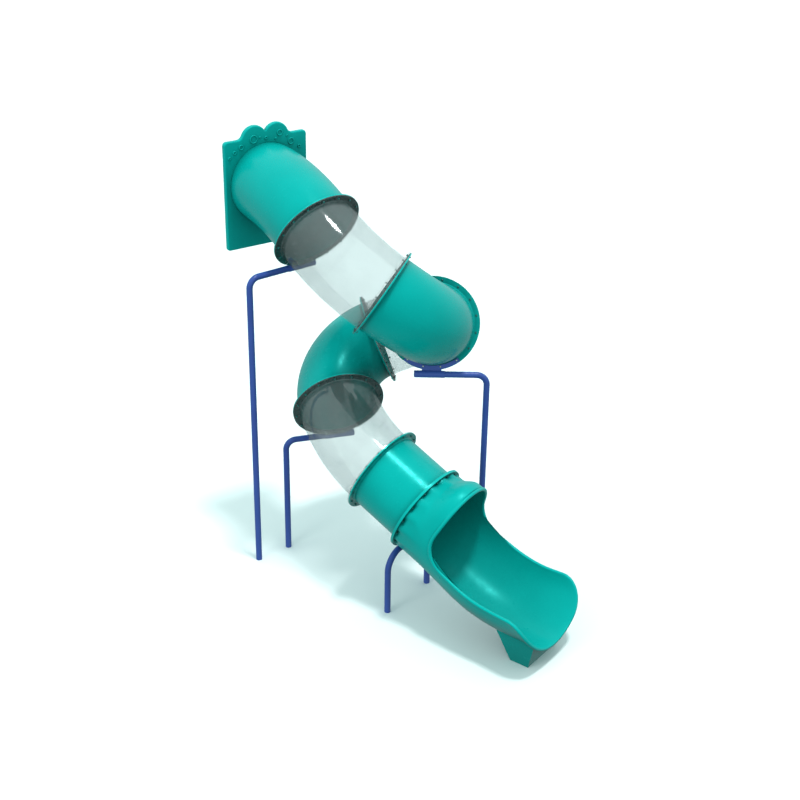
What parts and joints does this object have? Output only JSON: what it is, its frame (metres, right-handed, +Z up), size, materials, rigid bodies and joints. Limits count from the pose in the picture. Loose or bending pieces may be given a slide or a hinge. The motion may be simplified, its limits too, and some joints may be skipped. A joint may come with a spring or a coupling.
{
  "type": "spiral tube slide",
  "caption": "Spiral tube slide with an entry panel, opaque and clear bolted tube sections, an open exit chute with a foot, and pipe posts under the joints.",
  "frame": {"origin": "on the ground, straight below the centre of the entry opening on the panel's back face", "axes": "+X the way the rider leaves the tower, +Y to the rider's left, +Z up"},
  "size_m": [3.7498, 2.0583, 4.2432],
  "materials": {
    "teal_plastic": "satin",
    "clear_plastic": "gloss",
    "blue_steel": "satin",
    "zinc_steel": "satin",
    "black_plastic": "matte"
  },
  "bodies": {
    "root": {"entry_panel": "teal_plastic", "entry_elbow": "teal_plastic", "clear_tube_upper": "clear_plastic", "elbow_upper": "teal_plastic", "clear_elbow": "clear_plastic", "elbow_lower": "teal_plastic", "clear_tube_lower": "clear_plastic", "straight_tube": "teal_plastic", "exit_chute": "teal_plastic", "exit_foot": "teal_plastic", "post_upper": "blue_steel", "post_middle": "blue_steel", "post_lower": "blue_steel", "hoop_support": "blue_steel", "saddle_upper": "blue_steel", "saddle_middle": "blue_steel", "saddle_lower": "blue_steel", "saddle_hoop": "blue_steel", "arm_caps": "black_plastic", "joint_bolts_1": "zinc_steel", "joint_bolts_2": "zinc_steel", "joint_bolts_3": "zinc_steel", "joint_bolts_4": "zinc_steel", "joint_bolts_5": "zinc_steel", "joint_bolts_6": "zinc_steel", "joint_bolts_7": "zinc_steel", "joint_nuts": "zinc_steel", "joint_washers": "zinc_steel", "entry_bolts": "zinc_steel"}
  },
  "joints": []
}
